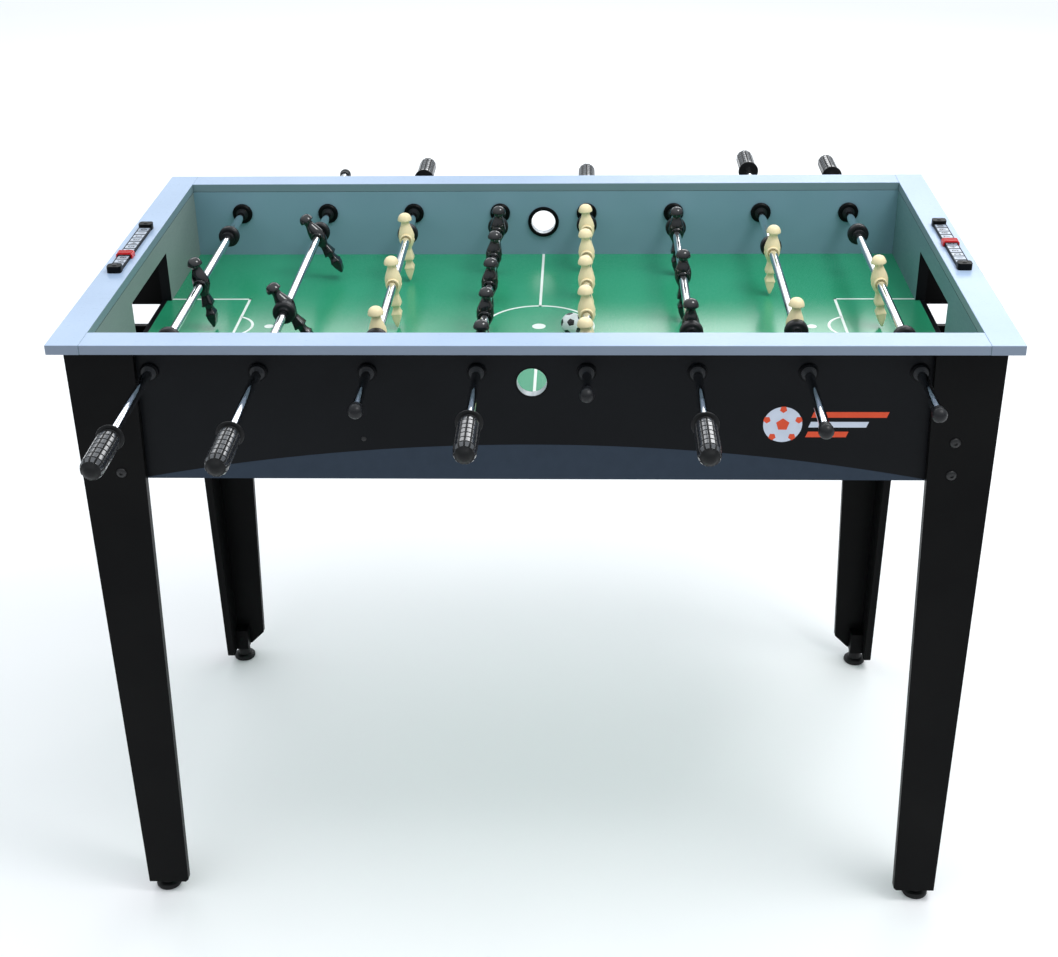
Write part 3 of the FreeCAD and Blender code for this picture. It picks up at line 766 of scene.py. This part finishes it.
# ---- stops, collars and caps -------------------------------------------------------
def stops_and_cap(number):
    """Rubber bumpers, the goalkeeper rods' collars and the ball-shaped cap, smoothly turned."""
    node = "rod_%d_stops_and_cap" % number
    count, side = RODS[number][1:3]
    axis = ROD_AXES["rod_%d_sleeves" % number]
    slide = middle("rod_%d_players" % number).y
    offsets = player_offsets(number)
    centre = GOALIE_BUMPER if count == 1 else offsets[-1] + PLAYER_TO_BUMPER
    bm = bmesh.new()
    for end in (-1, 1):
        place = Matrix.Translation((axis.x, slide + end * centre, axis.z)) @ along_y(end)
        outline = [(6.6, -6.2), (7.4, -7.0), (12.8, -7.0), (14.6, -6.5), (15.6, -5.4), (16.0, -4.0),
                   (16.0, 2.6), (15.7, 4.4), (14.8, 5.8), (13.4, 6.7), (11.8, 7.0), (9.4, 7.0), (8.6, 6.4),
                   (6.6, 6.0)]
        closed_turn(bm, [(r * MM, z * MM) for r, z in outline], 64, place)
        if count == 1:
            collar = [(6.4, -14.0), (8.9, -14.0), (9.8, -13.5), (10.0, -12.8), (10.0, -8.0), (9.6, -7.1),
                      (6.4, -7.0)]
            closed_turn(bm, [(r * MM, z * MM) for r, z in collar], 48, place)
            on_collar = Matrix.Translation((0, 9.6 * MM, -10.5 * MM))
            hole = place @ on_collar @ Matrix.Rotation(math.radians(-90), 4, "X")
            socket = [(0, 0.5), (1.3, 0.5), (1.3, 0.9), (2.2, 0.9), (2.4, 0.6), (2.4, 0.0), (0, 0.0)]
            turn(bm, [(r * MM, z * MM) for r, z in socket], 24, hole, 1)
    cap_y = low(node).y if side > 0 else high(node).y
    place = Matrix.Translation((axis.x, cap_y + side * CAP_RADIUS * MM, axis.z)) @ along_y(-side)
    ball = [(0, CAP_RADIUS)]
    for degrees in range(80, -36, -10):
        angle = math.radians(degrees)
        ball.append((CAP_RADIUS * math.cos(angle), CAP_RADIUS * math.sin(angle)))
    ball += [(7.9, -7.6), (7.9, -11.0), (7.5, -11.5), (6.4, -11.5), (6.4, -8.0)]
    turn(bm, [(r * MM, z * MM) for r, z in ball], 48, place)
    piece = finish_mesh(node + "_detailed", bm, ["stop", "steel"], "rod_%d" % number, sharp=40)
    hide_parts(node)


# ---- score counters ----------------------------------------------------------------
def digit_mesh(text, height):
    """A number as a thin plate lying flat, from the built-in font."""
    curve = bpy.data.curves.new("digit", "FONT")
    curve.body = text
    curve.size = height
    curve.align_x = "CENTER"
    curve.align_y = "CENTER"
    curve.extrude = 0.08 * MM
    curve.offset = 0.25 * MM
    working = bpy.data.objects.new("digit", curve)
    bpy.context.scene.collection.objects.link(working)
    mesh = baked_mesh(working)
    bpy.data.objects.remove(working)
    bpy.data.curves.remove(curve)
    return mesh


def score_counters():
    """Each counter: a channel with raised ends, a ribbed scale with numbers, and two screws."""
    node = "score_counters"
    length = 194 * MM
    base = RAIL_TOP
    scale_top = base + 4.6 * MM
    block = 15 * MM               # length of an end block
    block_top = base + 9.6 * MM
    for name, side in (("left", -1), ("right", 1)):
        bm = bmesh.new()
        x = side * (high(node).x - 10 * MM)
        y0 = low(node).y if side < 0 else high(node).y - length
        y1 = y0 + length
        cuboid(bm, (x - 9 * MM, y0 + 2 * MM, base), (x + 9 * MM, y1 - 2 * MM, base + 3.2 * MM))
        for edge in (-1, 1):
            near = x + edge * 9 * MM
            far = x + edge * 8.2 * MM
            cuboid(bm, (min(near, far), y0 + 14 * MM, base + 3 * MM),
                   (max(near, far), y1 - 14 * MM, base + 5.2 * MM))
        for start in (y0, y1 - block):
            corners = [(x - 10 * MM, start), (x + 10 * MM, start), (x + 10 * MM, start + block),
                       (x - 10 * MM, start + block)]
            slab(bm, rounded(corners, 4 * MM), base, block_top, Matrix())
        cells = 11
        track0 = y0 + block
        pitch = (length - 2 * block) / cells
        for i in range(cells):
            a = track0 + i * pitch
            cuboid(bm, (x - 8 * MM, a + 0.7 * MM, base + 3.1 * MM),
                   (x + 8 * MM, a + pitch - 0.7 * MM, scale_top), slot=1)
            cuboid(bm, (x - 8.1 * MM, a + pitch - 0.5 * MM, base + 3.1 * MM),
                   (x + 8.1 * MM, a + pitch + 0.5 * MM, base + 5.2 * MM))
        channel = finish_mesh(name + "_counter", bm, ["bearing", "scale"], "cabinet")
        soften(channel, 0.3 * MM)
        if side < 0:
            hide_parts(node)
        counter_digits(name, side, x, track0, pitch, cells, scale_top)
        counter_screws(name, x, (y0 + block / 2, y1 - block / 2), block_top)


def rounded(corners, radius, steps=5):
    """An anticlockwise rectangle with its corners rounded."""
    middle_x = sum(x for x, y in corners) / 4
    middle_y = sum(y for x, y in corners) / 4
    outline = []
    for i, (x, y) in enumerate(corners):
        centre = (x - math.copysign(radius, x - middle_x), y - math.copysign(radius, y - middle_y))
        for step in range(steps + 1):
            angle = math.radians(180 + 90 * i + 90 * step / steps)
            outline.append((centre[0] + radius * math.cos(angle), centre[1] + radius * math.sin(angle)))
    return outline


def counter_digits(name, side, x, track0, pitch, cells, top):
    """Numbers 0 to 10 printed on the scale, read from the end of the table."""
    bm = bmesh.new()
    for i in range(cells):
        value = i if side > 0 else cells - 1 - i
        mesh = digit_mesh(str(value), 12.5 * MM)
        before = len(bm.verts)
        bm.from_mesh(mesh)
        bm.verts.ensure_lookup_table()
        y = track0 + (i + 0.5) * pitch
        place = Matrix.Translation((x, y, top)) @ Matrix.Rotation(side * math.pi / 2, 4, "Z")
        bmesh.ops.transform(bm, matrix=place, verts=bm.verts[before:])
        bpy.data.meshes.remove(mesh)
    finish_mesh(name + "_counter_numbers", bm, ["ink"], "cabinet")


def cross_screw(bm, place, radius, height, slot):
    """A domed screw head with a cross recess."""
    turn(bm, [(0, -0.2 * MM), (radius, -0.2 * MM), (radius, height * 0.35), (radius * 0.82, height * 0.8),
              (radius * 0.5, height), (0, height)], 28, place, slot)


def cross_slots(bm, place, radius, height, slot):
    """The cross of a screw head, set just proud of its dome in place of a recess; where it takes a darker
    finish, that dark is painted shade for the recess.
    """
    for angle in (0, 90):
        about = place @ Matrix.Rotation(math.radians(angle), 4, "Z")
        cuboid(bm, (-radius * 0.5, -radius * 0.11, height * 0.9),
               (radius * 0.5, radius * 0.11, height + 0.04 * MM), about, slot)


def counter_screws(name, x, ends, top):
    bm = bmesh.new()
    for y in ends:
        place = Matrix.Translation((x, y, top))
        cross_screw(bm, place, 3.4 * MM, 1.2 * MM, 0)
        # The cross takes the dark ink finish: painted shade standing in for the cross recess.
        cross_slots(bm, place @ Matrix.Rotation(0.5, 4, "Z"), 3.4 * MM, 1.2 * MM, 1)
    finish_mesh(name + "_counter_screws", bm, ["bolt", "ink"], "cabinet")


def score_slider(side):
    """A red marker with gripping ribs."""
    node = side + "_score_slider"
    a = low(node)
    b = high(node)
    bm = bmesh.new()
    wall = 2.3 * MM
    top = b.z - 1.4 * MM
    outline = [(a.x, a.z), (a.x + wall, a.z), (a.x + wall, top - 1.0 * MM), (b.x - wall, top - 1.0 * MM),
               (b.x - wall, a.z), (b.x, a.z), (b.x, top - 1.2 * MM), (b.x - 1.2 * MM, top),
               (a.x + 1.2 * MM, top), (a.x, top - 1.2 * MM)]
    place = Matrix(((1, 0, 0, 0), (0, 0, 1, 0), (0, 1, 0, 0), (0, 0, 0, 1)))
    slab(bm, outline, a.y, b.y, place)
    ribs = 3
    for i in range(ribs):
        y = a.y + (i + 0.5) * (b.y - a.y) / ribs
        cuboid(bm, (a.x + 1.6 * MM, y - 1.1 * MM, top - 0.2 * MM), (b.x - 1.6 * MM, y + 1.1 * MM, b.z))
    piece = finish_mesh(node + "_detailed", bm, ["red"], node)
    soften(piece, 0.35 * MM)
    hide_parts(node)


# ---- ball --------------------------------------------------------------------------
def ball():
    """A small ball with twelve dark five-sided patches and thin seams."""
    centre = middle("ball")
    radius = (high("ball").z - low("ball").z) / 2
    bm = bmesh.new()
    bmesh.ops.create_icosphere(bm, subdivisions=1, radius=1.0)
    bm.edges.ensure_lookup_table()
    edge = bm.edges[0].calc_length()
    bmesh.ops.bevel(bm, geom=bm.verts[:], offset=edge / 3, offset_type="OFFSET", segments=1, profile=0.5,
                    affect="VERTICES")
    for face in bm.faces:
        face.material_index = 1 if len(face.verts) == 5 else 0
    bmesh.ops.inset_individual(bm, faces=bm.faces[:], thickness=0.035)
    bmesh.ops.triangulate(bm, faces=bm.faces[:])
    bmesh.ops.subdivide_edges(bm, edges=bm.edges[:], cuts=3, use_grid_fill=True)
    for vertex in bm.verts:
        vertex.co = centre + vertex.co.normalized() * (radius * 0.995)
    bmesh.ops.rotate(bm, verts=bm.verts[:], cent=centre, matrix=Matrix.Rotation(0.9, 3, (0.4, 0.8, 0.3)))
    piece = finish_mesh("ball_detailed", bm, ["ball_white", "ball_black"], "ball", sharp=180)
    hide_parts("ball")


# ---- leg hardware ------------------------------------------------------------------
LONG_SIDE_STACK = 24 * MM         # leg board and front or back panel
END_STACK = 27 * MM               # leg board and end panel


def bolt_places():
    """Outer face point and outward direction of each leg bolt, from the legs and their CAD bolts."""
    leg_low = low("leg_front_left")
    from_edge = BOLT_FROM_EDGE * MM
    top = high("leg_bolts").z - BOLT_HEAD_RADIUS * MM
    bottom = low("leg_bolts").z + BOLT_HEAD_RADIUS * MM
    places = []
    for side_x in (-1, 1):
        for side_y in (-1, 1):
            for z in (top, bottom):
                x = side_x * abs(leg_low.x)
                y = side_y * abs(leg_low.y)
                places.append((Vector((x - side_x * from_edge, y, z)), Vector((0, side_y, 0))))
                places.append((Vector((x, y - side_y * from_edge, z)), Vector((side_x, 0, 0))))
    return places


def leg_bolts():
    """Round-headed bolts with a round socket, and nuts inside the cabinet."""
    bm = bmesh.new()
    for point, outward in bolt_places():
        turned = outward.to_track_quat("Z", "Y").to_matrix().to_4x4()
        place = Matrix.Translation(point) @ turned
        head = [(0, -0.2), (BOLT_HEAD_RADIUS, -0.2), (BOLT_HEAD_RADIUS, 0.5), (6.5, 1.5), (5.4, 2.4),
                (3.9, 2.9), (2.9, BOLT_HEAD_HEIGHT)]
        turn(bm, [(r * MM, z * MM) for r, z in head], 36, place)
        socket = [(2.9, BOLT_HEAD_HEIGHT), (2.4, 2.7), (2.4, 1.2), (0, 1.0)]
        turn(bm, [(r * MM, z * MM) for r, z in socket], 36, place)
        thickness = LONG_SIDE_STACK if abs(outward.y) > 0.5 else END_STACK
        inner = place @ Matrix.Translation((0, 0, -thickness))
        slab(bm, ngon((0, 0), 6.6 * MM, 6), -5.0 * MM, 0, inner)
        shank = [(0, -5.0), (3.0, -5.0), (3.0, 0.2), (0, 0.2)]
        turn(bm, [(r * MM, z * MM) for r, z in shank], 20, inner)
    piece = finish_mesh("leg_bolts_detailed", bm, ["bolt"], "cabinet", sharp=30)
    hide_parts("leg_bolts")


def levellers():
    """Moulded round feet on their studs."""
    bm = bmesh.new()
    low_corner = low("leg_levellers")
    radius = 19 * MM
    profile = [(0, 0.0), (16.4, 0.0), (18.2, 0.5), (19.0, 1.8), (19.0, 4.2), (18.4, 6.2), (16.6, 8.0),
               (13.4, 9.0), (11.6, 9.6), (11.0, 11.0), (11.0, 20.6), (10.4, 21.6), (4.0, 22.0), (4.0, 30.0),
               (0, 30.0)]
    for side_x in (-1, 1):
        for side_y in (-1, 1):
            x = side_x * (abs(low_corner.x) - radius)
            y = side_y * (abs(low_corner.y) - radius)
            turn(bm, [(r * MM, z * MM) for r, z in profile], 56, Matrix.Translation((x, y, 0)))
    piece = finish_mesh("leg_levellers_detailed", bm, ["glide"], "cabinet", sharp=40)
    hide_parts("leg_levellers")


# ---- ball holes --------------------------------------------------------------------
def ball_hole_rings():
    """Moulded rings lining the ball holes, with a thin pale sleeve along each bore to the outer mouth, its
    colour painted light for the lit inside of the hole.
    """
    bm = bmesh.new()
    node = "ball_hole_rings"
    centre_z = middle(node).z
    depth = high(node).y
    lip = INNER_Y - 4.0 * MM
    outline = [(19.4, lip + 1.6 * MM), (20.0, lip + 0.5 * MM), (21.0, lip), (23.0, lip),
               (24.3, lip + 0.6 * MM), (25.0, lip + 1.9 * MM), (25.0, INNER_Y), (21.4, INNER_Y),
               (21.4, depth), (19.4, depth)]
    # Pale sleeve: its colour is painted light, standing in for the lit inside of the hole.
    sleeve = [(19.2, lip + 2.4 * MM), (19.4, lip + 2.4 * MM), (19.4, depth - 0.4 * MM),
              (19.2, depth - 0.4 * MM)]
    for side in (-1, 1):
        place = Matrix.Translation((0, 0, centre_z)) @ along_y(side)
        closed_turn(bm, [(r * MM, z) for r, z in outline], 72, place)
        closed_turn(bm, [(r * MM, z) for r, z in sleeve], 72, place, 1)
    piece = finish_mesh("ball_hole_rings_detailed", bm, ["bearing", "painted_light_sleeve"], "cabinet", sharp=35)
    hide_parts(node)


# ---- setting -----------------------------------------------------------------------
def floor():
    mesh = bpy.data.meshes.new("floor")
    size = 30.0
    corners = [(-size, -size, 0), (size, -size, 0), (size, size, 0), (-size, size, 0)]
    mesh.from_pydata(corners, [], [(0, 1, 2, 3)])
    shader = Shader("floor_paint", (0.93, 0.93, 0.93, 1.0), 0.8, Specular_IOR_Level=0.1)
    mesh.materials.append(shader.material)
    ground = bpy.data.objects.new("floor", mesh)
    bpy.context.scene.collection.objects.link(ground)


def area_light(name, place, target, width, depth, power, colour=(1, 1, 1)):
    data = bpy.data.lights.new(name, "AREA")
    data.shape = "RECTANGLE"
    data.size = width
    data.size_y = depth
    data.energy = power
    data.color = colour
    light = bpy.data.objects.new(name, data)
    light.location = place
    light.rotation_euler = (Vector(target) - Vector(place)).to_track_quat("-Z", "Y").to_euler()
    bpy.context.scene.collection.objects.link(light)


def sky():
    """A pale studio dome, brightest overhead."""
    world = bpy.data.worlds.new("studio")
    bpy.context.scene.world = world
    world.use_nodes = True
    tree = world.node_tree
    background = tree.nodes["Background"]
    direction = tree.nodes.new("ShaderNodeTexCoord")
    split = tree.nodes.new("ShaderNodeSeparateXYZ")
    tree.links.new(direction.outputs["Generated"], split.inputs[0])
    ramp = tree.nodes.new("ShaderNodeValToRGB")
    tree.links.new(split.outputs["Z"], ramp.inputs["Fac"])
    low_stop, high_stop = ramp.color_ramp.elements
    low_stop.position = 0.0
    low_stop.color = (0.36, 0.39, 0.42, 1.0)
    middle_stop = ramp.color_ramp.elements.new(0.5)
    middle_stop.color = (0.7, 0.76, 0.8, 1.0)
    high_stop.position = 1.0
    high_stop.color = (1.3, 1.36, 1.42, 1.0)
    tree.links.new(ramp.outputs["Color"], background.inputs["Color"])
    background.inputs["Strength"].default_value = 1.0


def lighting():
    """The dome, one soft light overhead and two wide ones behind the table."""
    sky()
    table = (0, 0, 0.85)
    area_light("key_top", (1.4, -0.6, 3.4), table, 1.2, 1.0, 38)
    area_light("back_right", (1.6, 4.8, 3.0), table, 3.2, 1.3, 46)
    area_light("back_left", (-2.2, 4.8, 3.3), table, 3.2, 1.5, 24)


def camera():
    """The main view: from the front, a little above the rails' corners."""
    data = bpy.data.cameras.new("camera")
    data.sensor_width = 36.0
    image_width = 1058
    focal_pixels = 1586.7
    data.lens = focal_pixels * data.sensor_width / image_width
    data.clip_end = 60
    place = (0.0665, -2.1613, 1.6974)
    yaw = -0.0390
    pitch = 0.4895
    roll = -0.0150
    forward = Vector((math.sin(yaw) * math.cos(pitch), math.cos(yaw) * math.cos(pitch), -math.sin(pitch)))
    right = Vector((math.cos(yaw), -math.sin(yaw), 0))
    up = right.cross(forward)
    level_right = math.cos(roll) * right + math.sin(roll) * up
    level_up = -math.sin(roll) * right + math.cos(roll) * up
    axes = Matrix((level_right, level_up, -forward)).transposed().to_4x4()
    eye = bpy.data.objects.new("camera", data)
    eye.matrix_world = Matrix.Translation(place) @ axes
    bpy.context.scene.collection.objects.link(eye)
    bpy.context.scene.camera = eye


# ---- build -------------------------------------------------------------------------
dress_cabinet()
field_lines()
apron_screw()
apron_band()
badge()
player_mesh = make_player_mesh()
grip_mesh = make_grip_mesh(high("rod_1_grip").y - low("rod_1_grip").y)
for number in RODS:
    players(number, player_mesh)
    grip(number, grip_mesh)
    stops_and_cap(number)
score_counters()
score_slider("left")
score_slider("right")
ball()
leg_bolts()
levellers()
ball_hole_rings()
floor()
lighting()
camera()
bpy.context.scene.view_settings.view_transform = "Standard"
